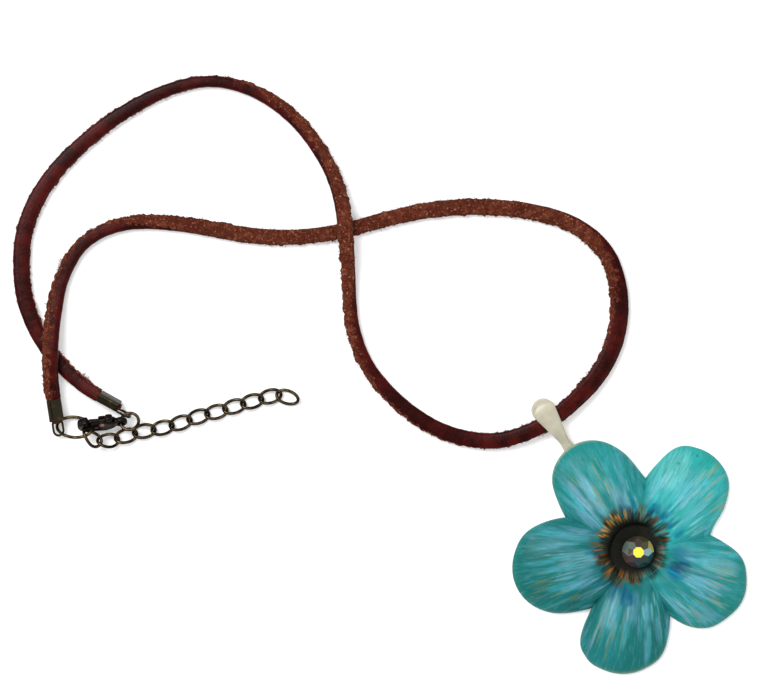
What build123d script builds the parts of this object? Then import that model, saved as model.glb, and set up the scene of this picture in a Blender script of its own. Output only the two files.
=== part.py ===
"""Flower pendant on a leather lace, with a lobster clasp and an extender chain.

The necklace lies on a flat surface at z = 0 and is seen from above. X runs to the right,
Y away from the reader and Z up. The origin is the middle of the flower's flat back.
All lengths are in millimetres.
"""
from build123d import *
import math
import os

os.makedirs("parts", exist_ok=True)

# Clearances
GLUE_GAP = 0.1
PIN_GAP = 0.04
SLOT_GAP = 0.1

# Flower
FLOWER_R = 28.0
FOOT_R = 6.0
ARCH_H = 3.3
CREASE_DEPTH = 2.0
WALL_CENTRE = 1.9
WALL_RIM = 1.45
PETAL_SIDES = 14

# Crystal
CRYSTAL_R = 3.55
CRYSTAL_H = 3.0
GIRDLE_H = 1.0
TABLE_R = 1.15
MAIN_FACETS = 8

# Bail
BAIL_END_R = 2.8
BAIL_NECK_W = 2.1
BAIL_NECK_S = 9.4
BAIL_STRAP = 1.05
BAIL_OPENING_H = 2.4
BAIL_OPENING_L = 8.3
PAD_W = 4.4
PAD_L = 6.0
BAIL_REACH = 10.22
BAIL_BEARING = 123.69
BAIL_YAW = -55.5

# The middle of the bail's round end, so far outside the flower's rim
BAIL_X = (FLOWER_R + BAIL_REACH) * math.cos(math.radians(BAIL_BEARING))
BAIL_Y = (FLOWER_R + BAIL_REACH) * math.sin(math.radians(BAIL_BEARING))

# Leather lace
LACE_W = 3.3
LACE_T = 1.9
LACE_LOW = 1.05
LACE_OVER = 3.75
LACE_IN_BAIL = 2.35

# Fold-over lace ends
CRIMP_L = 4.9
CRIMP_W = 3.3
CRIMP_H = 2.1
CRIMP_WALL = 0.3
SEAM = 0.2
TIP_L = 0.6
TIP_REACH = 1.0
TIP_W = 1.5
TIP_H = 1.1
EYE_L = 3.6
EYE_W = 2.7
EYE_BAR = 0.5
EYE_T = 0.45

# Wire of the rings and the chain
WIRE_R = 0.35
WIRE_SIDES = 6
RING_A_HALF = (4.25, 2.6)
RING_B_HALF = (2.05, 2.05)
LINK_PITCH = 4.2
LINK_SLACK = 0.1
LINK_HALF_W = 1.45
LINK_TWIST = 0.5

# Half the length and width of a link's middle line: linked ones lie LINK_PITCH apart, nearly taut
LINK_HALF = ((LINK_PITCH + LINK_SLACK) / 2 + WIRE_R, LINK_HALF_W)

# Lobster clasp
CLASP_T = 1.8
CLASP_BAR = 0.9
NOSE_R = 1.85
NOSE_X = -3.6
CLASP_EYE_X = 4.2
CLASP_EYE_R = 1.35
CLASP_EYE_HOLE = 0.85
CLASP_EYE_T = 1.15
PIVOT = (-0.1, 0.75)
RIVET_R = 0.35
RIVET_HEAD_R = 0.6
RIVET_HEAD_H = 0.15
LEVER_T = 0.8
LEVER_H = 0.7
TAB_R = 0.75
TAB_AT = (1.5, 1.9)


def placed(x, y, z, yaw=0.0, pitch=0.0, roll=0.0):
    """A piece's own plane: its X points along yaw and pitch, and roll turns it about that X."""
    turn = math.radians(yaw)
    rise = math.radians(pitch)
    lean = math.radians(roll)
    along = Vector(math.cos(rise) * math.cos(turn), math.cos(rise) * math.sin(turn), math.sin(rise))
    left = Vector(-math.sin(turn), math.cos(turn), 0)
    up = along.cross(left)
    return Plane(origin=(x, y, z), x_dir=along, z_dir=up * math.cos(lean) + left * math.sin(lean))


def facet(*corners):
    """One flat face with straight edges."""
    return Face(Wire.make_polygon(corners, close=True))


def band(ring, following):
    """Triangles between two rings of as many points."""
    faces = []
    for i in range(len(ring)):
        j = (i + 1) % len(ring)
        faces.append(facet(ring[i], ring[j], following[j]))
        faces.append(facet(ring[i], following[j], following[i]))
    return faces


def wire_loop(plane, half_length, half_width, twist=0.0, stations=24):
    """A closed loop of round wire. A curb link's wire rises and falls twice round the loop."""
    rings = []
    for i in range(stations):
        t = 2 * math.pi * i / stations
        centre = Vector(half_length * math.cos(t), half_width * math.sin(t), twist * math.sin(2 * t))
        forward = Vector(-half_length * math.sin(t), half_width * math.cos(t), 2 * twist * math.cos(2 * t))
        side = forward.cross(Vector(0, 0, 1)).normalized()
        over = side.cross(forward).normalized()
        ring = []
        for k in range(WIRE_SIDES):
            a = 2 * math.pi * (k + 0.5) / WIRE_SIDES
            point = centre + side * (WIRE_R * math.cos(a)) + over * (WIRE_R * math.sin(a))
            ring.append(plane.from_local_coords(point))
        rings.append(ring)
    faces = []
    for i in range(stations):
        faces += band(rings[i], rings[(i + 1) % stations])
    return Solid(Shell(faces))


def ease(value):
    """A smooth step from 0 to 1."""
    value = min(max(value, 0.0), 1.0)
    return value * value * (3 - 2 * value)


# Petals, counted anticlockwise from the upper right. Angles are degrees in plan. The radii are
# shares of FLOWER_R: notch where the petal begins, then at 0.2, 0.5 and 0.8 of its spread. lift is
# how far its tip stands off the surface, as a share of BAIL_STRAP, where the bail lies beneath.
PETALS = [
    # notch_angle, notch, near, tip, far, lift
    (12.7, 0.598, 0.780, 0.975, 0.885, 0.0),
    (83.7, 0.591, 0.830, 1.000, 0.835, 1.3),
    (154.6, 0.623, 0.900, 1.018, 0.855, 0.0),
    (231.1, 0.590, 0.925, 0.995, 0.855, 0.0),
    (296.9, 0.581, 0.830, 0.930, 0.835, 0.0),
]
SHOULDER = 0.2


def petal_rim(number):
    """The petal's outline in plan, from its notch to the next one."""
    notch_angle, notch, near, tip, far, lift = PETALS[number]
    following = PETALS[(number + 1) % len(PETALS)]
    spread = (following[0] - notch_angle) % 360
    stations = [(0, notch), (SHOULDER, near), (0.5, tip), (1 - SHOULDER, far), (1, following[1])]
    points = []
    for part, share in stations:
        angle = math.radians(notch_angle + part * spread)
        points.append(Vector(share * FLOWER_R * math.cos(angle), share * FLOWER_R * math.sin(angle), 0))
    return Edge.make_spline(points)


def under_side(out, across, lift):
    """Height of the flower's back: out runs from the foot to the rim, across over one petal."""
    valley = (1 - across) * CREASE_DEPTH * ease(out / 0.35) * (1 - 0.35 * out)
    arch = ARCH_H * math.sin(math.pi * out ** 0.85) ** 0.9
    raised = lift * BAIL_STRAP * ease((out - 0.3) / 0.6) * across
    return max(arch - valley * min(1.0, arch / 1.5), 0.0) + raised


OUT_STATIONS = (0.0, 0.07, 0.16, 0.27, 0.4, 0.54, 0.68, 0.8, 0.9, 0.97, 1.0)


def make_flower():
    """Five arched petals round a dished centre: one moulding with a flat foot, made of flat facets."""
    top_rings = [[] for station in OUT_STATIONS]
    back_rings = [[] for station in OUT_STATIONS]
    for number, petal in enumerate(PETALS):
        rim = petal_rim(number)
        for step in range(PETAL_SIDES):
            edge_point = rim.position_at(step / PETAL_SIDES)
            across = math.sin(math.pi * step / PETAL_SIDES) ** 1.2
            direction = edge_point.normalized()
            for ring, out in enumerate(OUT_STATIONS):
                radius = FOOT_R + (edge_point.length - FOOT_R) * out
                wall = WALL_CENTRE + (WALL_RIM - WALL_CENTRE) * out
                rounding = 0.35 * wall * ease((out - 0.9) / 0.1)
                back = under_side(out, across, petal[5])
                foot = direction * (radius - rounding * 0.6)
                back_rings[ring].append(foot + Vector(0, 0, back))
                top_rings[ring].append(direction * radius + Vector(0, 0, back + wall - rounding))
    faces = [facet(*top_rings[0]), facet(*back_rings[0])]
    for rings in (top_rings, back_rings):
        for inner, outer in zip(rings, rings[1:]):
            faces += band(inner, outer)
    faces += band(top_rings[-1], back_rings[-1])
    return Solid(Shell(faces))


def make_crystal():
    """A round stone with a flat back, a table, eight main facets and eight between them."""
    stone = Cylinder(CRYSTAL_R, CRYSTAL_H, align=(Align.CENTER, Align.CENTER, Align.MIN))
    crown = CRYSTAL_H - GIRDLE_H
    main_slope = math.degrees(math.atan2(crown * 0.78, CRYSTAL_R - TABLE_R))
    cuts = [(main_slope, 0.0, TABLE_R, CRYSTAL_H)]
    cuts.append((main_slope + 16, 0.5, CRYSTAL_R, GIRDLE_H))
    for slope, shift, radius, height in cuts:
        for i in range(MAIN_FACETS):
            turn = 360 / MAIN_FACETS * (i + shift)
            lean = math.radians(slope)
            normal = Vector(math.sin(lean), 0, math.cos(lean)).rotate(Axis.Z, turn)
            through = Vector(radius, 0, height).rotate(Axis.Z, turn)
            stone = split(stone, bisect_by=Plane(origin=through, z_dir=normal), keep=Keep.BOTTOM)
    return Pos(0, 0, WALL_CENTRE + GLUE_GAP) * stone


def make_bail():
    """A loop that tapers to a neck and goes on as a flat pad glued under the top-left petal."""
    plane = placed(BAIL_X, BAIL_Y, 0, BAIL_YAW)
    top = 2 * BAIL_STRAP + BAIL_OPENING_H
    end = BAIL_NECK_S + PAD_L
    neck_top = BAIL_STRAP * 1.7
    low = GLUE_GAP / 2
    with BuildSketch(Plane.XZ) as side:
        with BuildLine():
            a = Line((end, low), (0, low))
            b = ThreePointArc((0, low), (-BAIL_END_R, top / 2), (0, top))
            Spline(
                [(0, top), (BAIL_NECK_S * 0.55, top * 0.82), (BAIL_NECK_S, neck_top),
                 (BAIL_NECK_S + 1.4, BAIL_STRAP)],
                tangents=[(1, 0), (1, 0)],
            )
            Line((BAIL_NECK_S + 1.4, BAIL_STRAP), (end, BAIL_STRAP))
            Line((end, BAIL_STRAP), (end, low))
        make_face()
        with BuildLine():
            left = -BAIL_END_R + BAIL_STRAP
            right = left + BAIL_OPENING_L
            middle = BAIL_STRAP + BAIL_OPENING_H / 2
            Spline(
                [(left, middle), (left + BAIL_OPENING_L * 0.34, BAIL_STRAP + BAIL_OPENING_H),
                 (left + BAIL_OPENING_L * 0.7, BAIL_STRAP + BAIL_OPENING_H * 0.86),
                 (right, BAIL_STRAP + 0.25)],
                tangents=[(0, 1), (1, -1.2)],
            )
            Line((right, BAIL_STRAP + 0.25), (right - 0.3, BAIL_STRAP))
            Line((right - 0.3, BAIL_STRAP), (left + 0.9, BAIL_STRAP))
            Spline(
                [(left + 0.9, BAIL_STRAP), (left, middle)],
                tangents=[(-1, 0), (0, 1)],
            )
        make_face(mode=Mode.SUBTRACT)
    body = extrude(side.sketch, amount=PAD_W, both=True)
    neck = BAIL_NECK_W / 2
    with BuildSketch() as plan:
        with BuildLine():
            ThreePointArc((0, BAIL_END_R), (-BAIL_END_R, 0), (0, -BAIL_END_R))
            Line((0, -BAIL_END_R), (BAIL_NECK_S, -neck))
            Spline(
                [(BAIL_NECK_S, -neck), (BAIL_NECK_S + 2.2, -PAD_W / 2), (end, -PAD_W / 2)],
                tangents=[(1, 0), (1, 0)],
            )
            Line((end, -PAD_W / 2), (end, PAD_W / 2))
            Spline(
                [(end, PAD_W / 2), (BAIL_NECK_S + 2.2, PAD_W / 2), (BAIL_NECK_S, neck)],
                tangents=[(-1, 0), (-1, 0)],
            )
            Line((BAIL_NECK_S, neck), (0, BAIL_END_R))
        make_face()
    body = body & extrude(plan.sketch, amount=2 * top)
    return plane.location * body


def make_crimp(plane):
    """A folded metal end: a channel closed round the leather, with a seam and an eye at one end."""
    with BuildSketch(Plane.YZ) as section:
        RectangleRounded(CRIMP_W, CRIMP_H, 0.5)
        RectangleRounded(CRIMP_W - 2 * CRIMP_WALL, CRIMP_H - 2 * CRIMP_WALL, 0.3, mode=Mode.SUBTRACT)
        with Locations((-CRIMP_W * 0.24, CRIMP_H / 2)):
            Rectangle(SEAM, 2 * CRIMP_WALL, mode=Mode.SUBTRACT)
    channel = extrude(section.sketch, amount=CRIMP_L / 2, both=True)
    plate_z = -CRIMP_H / 2 + EYE_T / 2
    with BuildSketch() as eye:
        with Locations((CRIMP_L / 2 + (EYE_L - EYE_BAR) / 2, 0)):
            SlotOverall(EYE_L + EYE_BAR, EYE_W)
            SlotOverall(EYE_L - EYE_BAR, EYE_W - 2 * EYE_BAR, mode=Mode.SUBTRACT)
    tab = Pos(0, 0, plate_z) * extrude(eye.sketch, amount=EYE_T / 2, both=True)
    core = Box(CRIMP_L + 2, CRIMP_W - 2 * CRIMP_WALL, CRIMP_H - 2 * CRIMP_WALL)
    return plane.location * (channel + (tab - core))


def make_tip(plane):
    """The squeezed end of the leather, through the fold-over end and just past it."""
    with BuildSketch(Plane.YZ.offset(-CRIMP_L / 2 - TIP_REACH)) as section:
        RectangleRounded(TIP_W, TIP_H, 0.3)
    return plane.location * extrude(section.sketch, amount=TIP_REACH + CRIMP_L + TIP_L)


# Hardware, where it lies. Ring A hangs in the eye of end A and in the clasp's hook, and carries the
# chain. Ring B joins the clasp's eye to the eye of end B.
CRIMP_A = placed(-130.71, 31.75, 2.51, yaw=-81.54, pitch=-4.65, roll=2.29)
CRIMP_B = placed(-118.68, 33.82, 1.97, yaw=-28.93, pitch=3.77, roll=72.03)
RING_A = placed(-126.39, 27.95, 2.39, yaw=-9.67, pitch=19.82, roll=29.71)
RING_B = placed(-114.01, 29.27, 2.99, yaw=21.86, pitch=-6.62, roll=24.88)
CLASP = placed(-120.12, 28.98, 3.53, yaw=3.43, pitch=-4.17, roll=-61.97)

# Route of the leather lace from end A to end B: places on the photographed loop, and the height of
# its middle. It crosses itself twice, lies in the bail and otherwise rests on the surface.
LACE_ROUTE = [
    (-131.1, 34.36, 2.73), (-131.62, 37.9, 3.1), (-131.8, 42.2, LACE_OVER), (-131.6, 48.6, LACE_OVER),
    (-130.9, 55.0, 2.0), (-129.4, 62.0, LACE_LOW), (-124.6, 70.2, LACE_LOW), (-114.5, 74.4, LACE_LOW),
    (-101.0, 73.6, LACE_LOW), (-87.5, 70.8, LACE_LOW), (-76.0, 70.5, LACE_LOW),
    (-65.7, 72.0, LACE_LOW), (-53.3, 75.7, LACE_LOW), (-39.8, 77.7, LACE_LOW),
    (-26.0, 77.0, LACE_LOW), (-14.2, 74.0, LACE_LOW), (-6.7, 67.6, LACE_LOW), (-3.9, 58.7, LACE_LOW),
    (-4.2, 49.2, LACE_LOW), (-8.0, 40.3, LACE_LOW), (BAIL_X + 6.6, BAIL_Y + 1.4, 1.9),
    (BAIL_X, BAIL_Y - 3.6, LACE_IN_BAIL), (BAIL_X - 8.3, BAIL_Y - 6.9, 1.7),
    (-37.5, 24.8, LACE_LOW), (-46.5, 27.9, LACE_LOW), (-54.7, 34.0, LACE_LOW),
    (-60.9, 41.4, LACE_LOW), (-64.0, 49.4, LACE_LOW), (-64.8, 57.0, LACE_LOW), (-64.9, 62.5, 2.0),
    (-65.3, 68.6, LACE_OVER), (-65.9, 75.2, LACE_OVER), (-67.0, 81.0, 2.1), (-69.4, 87.2, LACE_LOW),
    (-75.0, 95.6, LACE_LOW), (-83.0, 102.3, LACE_LOW), (-92.8, 105.9, LACE_LOW),
    (-102.0, 105.2, LACE_LOW), (-112.0, 101.0, LACE_LOW), (-122.6, 93.8, LACE_LOW),
    (-132.4, 84.2, LACE_LOW), (-138.2, 72.6, LACE_LOW), (-138.6, 60.6, LACE_LOW),
    (-136.3, 51.6, LACE_LOW), (-131.6, 43.8, LACE_LOW), (-126.6, 39.1, 1.3),
    (-123.17, 36.3, 1.63), (-120.99, 35.1, 1.8),
]


def corner_radii(route):
    """As large an arc at each corner as its two runs allow."""
    radii = []
    for before, corner, after in zip(route, route[1:], route[2:]):
        first = Vector(*corner) - Vector(*before)
        second = Vector(*after) - Vector(*corner)
        half_turn = math.radians(first.get_angle(second)) / 2
        radii.append(0.45 * min(first.length, second.length) / math.tan(half_turn))
    return radii


def make_lace():
    """The flat leather lace, with its two squeezed ends."""
    radii = corner_radii(LACE_ROUTE)
    print("lace arc radii", [round(radius, 1) for radius in radii])
    path = FilletPolyline(*[Vector(*point) for point in LACE_ROUTE], radius=radii)
    mouth = Plane(origin=path @ 0, x_dir=Vector(0, 0, 1).cross(path % 0), z_dir=path % 0)
    section = mouth * SlotOverall(LACE_W, LACE_T)
    body = sweep(section, path=path)
    share = body.volume / section.area / path.length
    print("lace length", round(path.length, 1), "volume share", round(share, 4))
    return body + make_tip(CRIMP_A) + make_tip(CRIMP_B)


# The extender chain: its first links lean on one another from ring A down to the surface, and the
# rest follow a middle line to the free end.
LEANING_LINKS = [
    placed(-122.37, 25.45, 3.61, yaw=-37.67, pitch=-27.51, roll=31.38),
    placed(-118.86, 24.9, 1.86, yaw=5.19, pitch=-23.17, roll=12.61),
    placed(-114.94, 25.96, 0.99, yaw=15.92, pitch=-1.35, roll=5.34),
]
CHAIN_ROUTE = [
    (-110.85, 27.05), (-106.9, 27.75), (-102.8, 28.85), (-98.6, 30.3), (-94.5, 31.4), (-90.2, 32.7),
    (-86.0, 33.9), (-81.6, 35.1),
]
CHAIN_LOW = LINK_TWIST + WIRE_R + 0.03
END_LINK = placed(-78.65, 34.68, 0.9, yaw=-17.5, pitch=3.0, roll=-3.4)


def make_chain():
    """The extender: twisted links, of which the first hangs on ring A."""
    links = [wire_loop(place, *LINK_HALF, LINK_TWIST) for place in LEANING_LINKS]
    route = Polyline(*CHAIN_ROUTE)
    count = int(route.length / LINK_PITCH + 0.5) + 1
    for number in range(count):
        share = min(number * LINK_PITCH / route.length, 1.0)
        place = route @ share
        heading = route % share
        yaw = math.degrees(math.atan2(heading.Y, heading.X))
        links.append(wire_loop(placed(place.X, place.Y, CHAIN_LOW, yaw), *LINK_HALF, LINK_TWIST))
    return links + [wire_loop(END_LINK, *LINK_HALF, LINK_TWIST)]


def make_clasp():
    """The lobster clasp: a cast hook with an eye, a sprung lever in its slot, and the rivet."""
    with BuildSketch() as outline:
        with BuildSketch(mode=Mode.PRIVATE) as hull:
            with Locations((NOSE_X, -0.4)):
                Circle(NOSE_R)
            with Locations((0.4, -0.25)):
                Circle(1.95)
            with Locations((2.6, 0)):
                Circle(1.0)
        add(make_hull(hull.sketch.edges()))
        with Locations((CLASP_EYE_X, 0)):
            Circle(CLASP_EYE_R)
        with Locations((CLASP_EYE_X - 1.2, 0)):
            Rectangle(1.4, 1.5)
        with Locations((CLASP_EYE_X, 0)):
            Circle(CLASP_EYE_HOLE, mode=Mode.SUBTRACT)
        with BuildSketch(mode=Mode.PRIVATE) as throat:
            with Locations((NOSE_X + 0.15, -0.45)):
                Circle(NOSE_R - CLASP_BAR + 0.12)
            with Locations((-1.1, -0.65)):
                Circle(0.62)
        add(make_hull(throat.sketch.edges()), mode=Mode.SUBTRACT)
        with Locations((-2.05, 1.0)):
            Rectangle(2.3, 2.4, mode=Mode.SUBTRACT)
    body = extrude(outline.sketch, amount=CLASP_T / 2, both=True)
    slot = Pos(0.75, 1.6, 0) * Box(3.9, 3.4, LEVER_T + 2 * SLOT_GAP)
    hole = Pos(PIVOT[0], PIVOT[1], 0) * Cylinder(RIVET_R + PIN_GAP / 2, 2 * CLASP_T)
    body = body - slot - hole
    for side in (-1, 1):
        height = side * (CLASP_EYE_T + CLASP_T) / 2
        body -= Pos(CLASP_EYE_X + CLASP_EYE_R, 0, height) * Box(4 * CLASP_EYE_R, 3 * CLASP_EYE_R, CLASP_T)
    with BuildSketch() as arm:
        with BuildSketch(mode=Mode.PRIVATE) as reach:
            with Locations((PIVOT[0], PIVOT[1])):
                Circle(LEVER_H * 0.8)
            with Locations((-2.75, 0.95)):
                Circle(LEVER_H * 0.5)
        add(make_hull(reach.sketch.edges()))
        with BuildSketch(mode=Mode.PRIVATE) as heel:
            with Locations((PIVOT[0], PIVOT[1])):
                Circle(LEVER_H * 0.8)
            with Locations((TAB_AT[0], TAB_AT[1] - 0.5)):
                Circle(LEVER_H * 0.7)
        add(make_hull(heel.sketch.edges()))
        with Locations(PIVOT):
            Circle(RIVET_R + PIN_GAP, mode=Mode.SUBTRACT)
    lever = extrude(arm.sketch, amount=LEVER_T / 2, both=True)
    lever += Pos(TAB_AT[0], TAB_AT[1] + 0.25, 0) * Box(2 * TAB_R, 0.7, CLASP_T - 0.3)
    pin = Pos(PIVOT[0], PIVOT[1], 0) * Cylinder(RIVET_R, CLASP_T + 0.04)
    for side in (-1, 1):
        height = side * (CLASP_T / 2 + 0.02 + RIVET_HEAD_H / 2)
        pin += Pos(PIVOT[0], PIVOT[1], height) * Cylinder(RIVET_HEAD_R, RIVET_HEAD_H)
    return [CLASP.location * piece for piece in (body, lever, pin)]


parts = {}
parts["flower"] = make_flower()
parts["crystal"] = make_crystal()
parts["bail"] = make_bail()
parts["lace"] = make_lace()
parts["crimp_end_a"] = make_crimp(CRIMP_A)
parts["crimp_end_b"] = make_crimp(CRIMP_B)
parts["jump_ring_a"] = wire_loop(RING_A, *RING_A_HALF, stations=28)
parts["jump_ring_b"] = wire_loop(RING_B, *RING_B_HALF)
parts["clasp_body"], parts["clasp_lever"], parts["clasp_rivet"] = make_clasp()
for number, link in enumerate(make_chain(), start=1):
    parts[f"chain_link_{number:02d}"] = link

for name, shape in parts.items():
    export_step(shape, f"parts/{name}.step")
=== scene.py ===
"""The look of the flower pendant necklace: metres, Z up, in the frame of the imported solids."""
import bpy
import math
import numpy as np
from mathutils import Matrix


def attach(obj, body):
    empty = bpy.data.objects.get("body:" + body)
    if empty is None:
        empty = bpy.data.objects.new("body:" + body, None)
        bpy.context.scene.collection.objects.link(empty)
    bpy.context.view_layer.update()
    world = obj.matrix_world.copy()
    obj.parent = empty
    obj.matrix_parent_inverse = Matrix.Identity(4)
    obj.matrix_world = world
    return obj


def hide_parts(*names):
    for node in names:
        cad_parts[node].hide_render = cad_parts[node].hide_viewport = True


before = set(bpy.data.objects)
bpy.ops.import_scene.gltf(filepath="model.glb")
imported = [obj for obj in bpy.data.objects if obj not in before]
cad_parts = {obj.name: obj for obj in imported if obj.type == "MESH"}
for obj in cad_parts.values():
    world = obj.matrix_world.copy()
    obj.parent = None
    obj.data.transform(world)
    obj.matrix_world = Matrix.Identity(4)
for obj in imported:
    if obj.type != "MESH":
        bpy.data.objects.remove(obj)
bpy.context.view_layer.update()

# Camera: the necklace lies on a table and was photographed from straight above, from far enough
# away that nothing leans. The view is the stretch of table that the photograph shows.
VIEW_CENTRE = (-0.0565, 0.0455)
VIEW_WIDTH = 0.1737
CAMERA_HEIGHT = 0.9
SENSOR = 36.0


def in_scene(name, data):
    """An object of the given data, in the scene."""
    made = bpy.data.objects.new(name, data)
    bpy.context.scene.collection.objects.link(made)
    return made


camera_data = bpy.data.cameras.new("camera")
camera_data.sensor_width = SENSOR
camera_data.lens = SENSOR * CAMERA_HEIGHT / VIEW_WIDTH
camera_data.clip_start = 0.01
camera = in_scene("camera", camera_data)
camera.location = (*VIEW_CENTRE, CAMERA_HEIGHT)
bpy.context.scene.camera = camera

# Leather lace: one length of thick flat leather, cut from a hide that is burgundy and smooth on its
# grain side and brown and fuzzy on its flesh side. It is threaded through the bail, lies twice over
# itself and slowly twists, so that the two sides show in turn.
MM = 0.001
BODY = "necklace"
UP = np.array([0.0, 0.0, 1.0])
LACE_W = 3.3
LACE_T = 1.9
LACE_HEIGHTS = (1.6, 2.08)
LACE_STEP = 0.32
LACE_SIDES = 26
LACE_CORNERS = 0.62
LACE_EASED_ROWS = 39
LACE_ROUTE = [
    (-0.1311, 0.03436, 0.00273), (-0.13162, 0.0379, 0.0031), (-0.1318, 0.0422, 0.00375),
    (-0.1316, 0.0486, 0.00375), (-0.1309, 0.0550, 0.0020), (-0.1294, 0.0620, 0.00105),
    (-0.1246, 0.0702, 0.00105), (-0.1145, 0.0744, 0.00105), (-0.1010, 0.0736, 0.00105),
    (-0.0875, 0.0708, 0.00105), (-0.0760, 0.0705, 0.00105), (-0.0657, 0.0720, 0.00105),
    (-0.0533, 0.0757, 0.00105), (-0.0398, 0.0777, 0.00105), (-0.0260, 0.0770, 0.00105),
    (-0.0142, 0.0740, 0.00105), (-0.0067, 0.0676, 0.00105), (-0.0039, 0.0587, 0.00105),
    (-0.0042, 0.0492, 0.00105), (-0.0080, 0.0403, 0.00105), (-0.0146, 0.0332, 0.0019),
    (-0.0212, 0.0282, 0.00235), (-0.0295, 0.0249, 0.0017), (-0.0375, 0.0248, 0.00105),
    (-0.0465, 0.0279, 0.00105), (-0.0547, 0.0340, 0.00105), (-0.0609, 0.0414, 0.00105),
    (-0.0640, 0.0494, 0.00105), (-0.0648, 0.0570, 0.00105), (-0.0649, 0.0625, 0.0020),
    (-0.0653, 0.0686, 0.00375), (-0.0659, 0.0752, 0.00375), (-0.0670, 0.0810, 0.0021),
    (-0.0694, 0.0872, 0.00105), (-0.0750, 0.0956, 0.00105), (-0.0830, 0.1023, 0.00105),
    (-0.0928, 0.1059, 0.00105), (-0.1020, 0.1052, 0.00105), (-0.1120, 0.1010, 0.00105),
    (-0.1226, 0.0938, 0.00105), (-0.1324, 0.0842, 0.00105), (-0.1382, 0.0726, 0.00105),
    (-0.1386, 0.0606, 0.00105), (-0.1363, 0.0516, 0.00105), (-0.1316, 0.0438, 0.00105),
    (-0.1266, 0.0391, 0.0013), (-0.12317, 0.0363, 0.00163), (-0.12099, 0.0351, 0.0018),
]
# Where the smooth side faces at a place on the route, in degrees from straight up, left positive
# and counted on from one place to the next, and how wide the lace looks there, in millimetres
LACE_TWIST = [
    # route_point, smooth_side, width
    (0.0, -80, 3.3), (1.5, -84, 3.6), (4.0, -84, 3.6), (5.0, -66, 3.2), (6.4, -52, 2.9), (7.1, -92, 3.2),
    (7.7, -125, 3.4), (8.6, -178, 3.6), (10.0, -205, 3.4), (11.2, -205, 3.3), (12.5, -172, 3.6),
    (13.8, -188, 3.7), (14.8, -225, 3.6), (15.6, -252, 3.8), (16.6, -270, 4.0), (17.5, -292, 4.2),
    (18.7, -332, 4.1), (20.0, -358, 3.8), (21.5, -360, 3.5), (23.2, -372, 3.6), (24.4, -410, 3.5),
    (26.0, -436, 3.2), (27.5, -458, 3.1), (29.0, -488, 3.2), (30.3, -530, 3.4), (31.5, -600, 3.4),
    (34.5, -622, 3.2), (35.2, -632, 2.9), (35.9, -682, 2.6), (36.6, -708, 2.6), (38.3, -718, 3.3),
    (40.5, -720, 3.8), (42.2, -724, 3.8), (43.5, -756, 3.5), (45.5, -768, 3.3), (47.0, -770, 2.9),
]
EDGE_WAVES = (23.0, 11.3, 6.1, 3.7, 2.3)
EDGE_WANDER = 0.14
OTHER_EDGE = 37.0
PIT_DEPTH = 0.16
PIT_DEPTH_AT_EDGE = 0.12
CREASE_WAVES = (2.1, 1.55, 1.23, 3.1)
GRAIN_CREASE = 0.06
CALM_ROWS = 4
LACE_ABOVE_TABLE = 0.02
GROOVES_ALONG = 1.3
GROOVES_AROUND = 0.55
rng = np.random.default_rng(7)

route_curve = bpy.data.curves.new("lace_route", "CURVE")
route_curve.dimensions = "3D"
route_curve.resolution_u = 24
route_spline = route_curve.splines.new("NURBS")
route_spline.points.add(len(LACE_ROUTE) - 1)
for route_point, place in zip(route_spline.points, LACE_ROUTE):
    route_point.co = (*place, 1.0)
route_spline.order_u = 3
route_spline.use_endpoint_u = True
route_object = in_scene("lace_route", route_curve)
route_mesh = bpy.data.meshes.new_from_object(route_object)
route_line = np.array([vertex.co[:] for vertex in route_mesh.vertices]) / MM
bpy.data.objects.remove(route_object)
bpy.data.meshes.remove(route_mesh)


def walk(points):
    """How far along a line each of its points lies."""
    return np.concatenate([[0], np.cumsum(np.linalg.norm(np.diff(points, axis=0), axis=1))])


def softened(values, rows):
    """Values along a line, averaged over as many rows, which is an odd number."""
    window = np.hanning(rows + 2)[1:-1]
    return np.convolve(np.pad(values, rows // 2, mode="edge"), window / window.sum(), mode="valid")


def unit(vectors):
    """Vectors scaled to length 1."""
    return vectors / np.maximum(np.linalg.norm(vectors, axis=-1, keepdims=True), 1e-12)


def ease(value):
    """A smooth step from 0 to 1."""
    value = np.clip(value, 0.0, 1.0)
    return value * value * (3 - 2 * value)


def swept(line, left, over, half_widths, half_heights, sides, corners):
    """Points of a bar swept along a line. Its section is an ellipse at corners of 1, squarer below."""
    turn = 2 * np.pi * np.arange(sides) / sides
    across = np.sign(np.sin(turn)) * np.abs(np.sin(turn)) ** corners
    above = np.sign(np.cos(turn)) * np.abs(np.cos(turn)) ** corners
    points = line[:, None, :] + left[:, None, :] * (half_widths[:, None] * across)[:, :, None]
    return points + over[:, None, :] * (half_heights[:, None] * above)[:, :, None]


def waves(position, lengths, seed):
    """A wandering line between -1 and 1: waves of several lengths at places along it."""
    phases = np.random.default_rng(seed).uniform(0, 2 * np.pi, len(lengths))
    total = sum(np.sin(2 * np.pi * position / length + phase) for length, phase in zip(lengths, phases))
    return total / len(lengths)


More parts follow.
